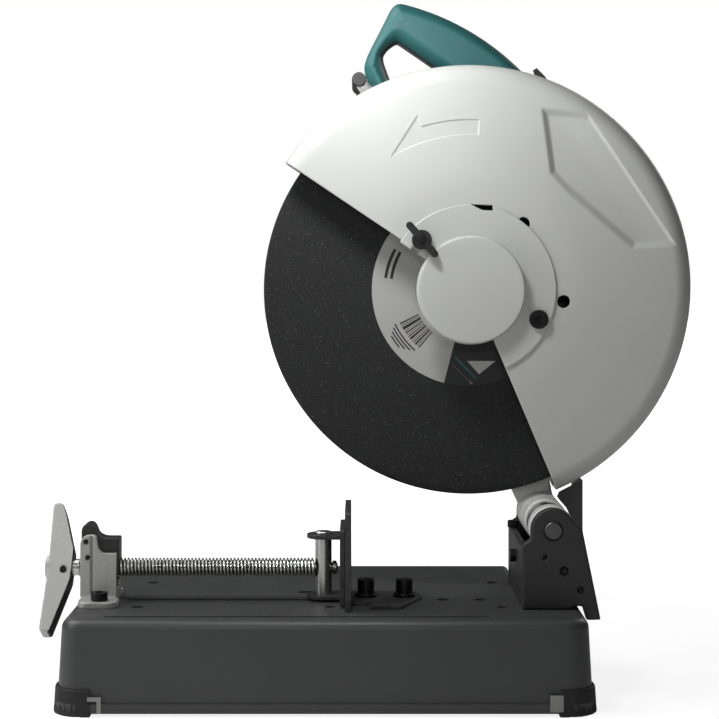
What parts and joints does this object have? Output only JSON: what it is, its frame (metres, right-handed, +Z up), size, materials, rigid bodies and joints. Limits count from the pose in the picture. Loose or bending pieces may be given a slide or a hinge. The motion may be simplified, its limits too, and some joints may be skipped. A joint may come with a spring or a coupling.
{
  "type": "abrasive chop saw",
  "caption": "Bench cut-off saw: guarded abrasive wheel and motor on a sprung arm, D-handle, hollow steel base with fence and quick-release screw vise.",
  "frame": {"origin": "on the bench, under the middle of the machine's overall box", "axes": "+X towards the arm's pivot, +Y towards the motor, +Z up; the wheel turns in the XZ plane"},
  "size_m": [0.5505, 0.2968, 0.5927],
  "materials": {
    "base_paint": "dark charcoal powder coat",
    "bracket_paint": "dark charcoal paint on cast iron",
    "black_oxide": "black finish on steel",
    "foot_rubber": "matte",
    "zinc_steel": "bright zinc plate",
    "clip_zinc": "dull zinc plate",
    "spring_steel": "oiled",
    "cast_light": "die cast, light hammered finish",
    "cast_dark": "as cast",
    "arm_cast": "die cast, shot blasted",
    "guard_paint": "light satin paint",
    "teal_plastic": "moulded",
    "black_plastic": "moulded",
    "grip_rubber": "moulded",
    "abrasive": "resin bonded abrasive",
    "label_paper": "paper",
    "machined_steel": "turned",
    "laminations": "laminated steel",
    "copper": "copper",
    "carbon": "carbon"
  },
  "bodies": {
    "base": {"base": "base_paint", "rubber_feet": "foot_rubber", "foot_clips": "clip_zinc", "fence_weld_nuts": "zinc_steel", "pivot_bracket": "bracket_paint", "bracket_bolts": "black_oxide", "pivot_pin": "machined_steel", "spark_guard": "base_paint", "fence": "bracket_paint", "fence_bolts": "black_oxide", "vise_bracket": "cast_light", "vise_bracket_fasteners": "black_oxide", "return_spring": "spring_steel"},
    "vise_nut": {"vise_nut": "cast_dark"},
    "vise_carriage": {"vise_jaw": "bracket_paint", "vise_pin": "zinc_steel", "vise_guide_washer": "zinc_steel"},
    "vise_screw": {"vise_screw": "zinc_steel", "vise_handle": "cast_light", "vise_handle_pin": "zinc_steel"},
    "head": {"gear_housing": "arm_cast", "gear_case_cover": "arm_cast", "case_screws": "zinc_steel", "spindle_bearings": "machined_steel", "armature_bearings": "machined_steel", "stator": "laminations", "motor_housing": "teal_plastic", "motor_end_cover": "teal_plastic", "brush_holders": "black_plastic", "carbon_brushes": "carbon", "brush_caps": "black_plastic", "wheel_guard": "guard_paint", "guard_back": "guard_paint", "cover_studs": "black_oxide", "handle_front": "teal_plastic", "handle_back": "black_plastic", "handle_screws": "zinc_steel", "switch": "black_plastic", "cord_inlet": "grip_rubber", "carry_grip": "grip_rubber", "carry_rod": "black_oxide", "carry_straps": "zinc_steel", "wrench_clip": "black_plastic"},
    "spindle": {"spindle": "machined_steel", "drive_gear": "machined_steel", "inner_flange": "zinc_steel", "outer_flange": "zinc_steel", "wheel_bolt": "zinc_steel", "abrasive_wheel": "abrasive", "wheel_label": "label_paper"},
    "armature": {"armature_shaft": "machined_steel", "armature_core": "laminations", "armature_winding": "copper", "commutator": "copper", "cooling_fan": "black_plastic"},
    "centre_cover": {"centre_cover": "guard_paint"},
    "wing_nut": {"wing_nut": "black_plastic"},
    "shaft_lock": {"shaft_lock": "black_plastic"},
    "trigger": {"trigger": "black_plastic"},
    "lock_button": {"lock_button": "black_plastic"}
  },
  "joints": [
    {"name": "head_pivot", "type": "hinge", "parent": "base", "child": "head", "pos_m": [0.1507, 0, 0.14], "axis": [0, -1, 0], "range_deg": [0, 40], "stiffness_Nm_per_rad": 18, "springref_deg": -40.11},
    {"name": "spindle_spin", "type": "hinge", "parent": "head", "child": "spindle", "pos_m": [0.0853, 0, 0.338], "axis": [0, 1, 0], "continuous": true},
    {"name": "armature_spin", "type": "hinge", "parent": "head", "child": "armature", "pos_m": [0.0754, 0, 0.39413], "axis": [0, 1, 0], "continuous": true},
    {"name": "cover_swing", "type": "hinge", "parent": "head", "child": "centre_cover", "pos_m": [0.1427, -0.05, 0.3131], "axis": [0, 1, 0], "range_deg": [0, 95]},
    {"name": "wing_nut_turn", "type": "hinge", "parent": "head", "child": "wing_nut", "pos_m": [0.0435, -0.06, 0.3804], "axis": [0, 1, 0], "range_deg": [0, 720]},
    {"name": "shaft_lock_press", "type": "slide", "parent": "head", "child": "shaft_lock", "axis": [0, -1, 0], "range_m": [0, 0.005], "stiffness_N_per_m": 300, "springref_m": -0.004},
    {"name": "trigger_pull", "type": "slide", "parent": "head", "child": "trigger", "axis": [0.5686, 0, 0.8226], "range_m": [0, 0.005], "stiffness_N_per_m": 600, "springref_m": -0.003},
    {"name": "lock_button_press", "type": "slide", "parent": "head", "child": "lock_button", "axis": [0, -1, 0], "range_m": [0, 0.003], "stiffness_N_per_m": 300, "springref_m": -0.003},
    {"name": "vise_slide", "type": "slide", "parent": "base", "child": "vise_carriage", "axis": [-1, 0, 0], "range_m": [0, 0.145]},
    {"name": "vise_screw_turn", "type": "hinge", "parent": "vise_carriage", "child": "vise_screw", "pos_m": [-0.1, -0.0505, 0.1025], "axis": [-1, 0, 0], "range_deg": [0, 17400]},
    {"name": "vise_nut_flip", "type": "hinge", "parent": "base", "child": "vise_nut", "pos_m": [-0.239, -0.0505, 0.1264], "axis": [0, -1, 0], "range_deg": [0, 75]}
  ],
  "couplings": [
    {"joint": "armature_spin", "follows": "spindle_spin", "ratio": -4.1818},
    {"joint": "vise_screw_turn", "follows": "vise_slide", "rad_per_m": 2094.4}
  ]
}
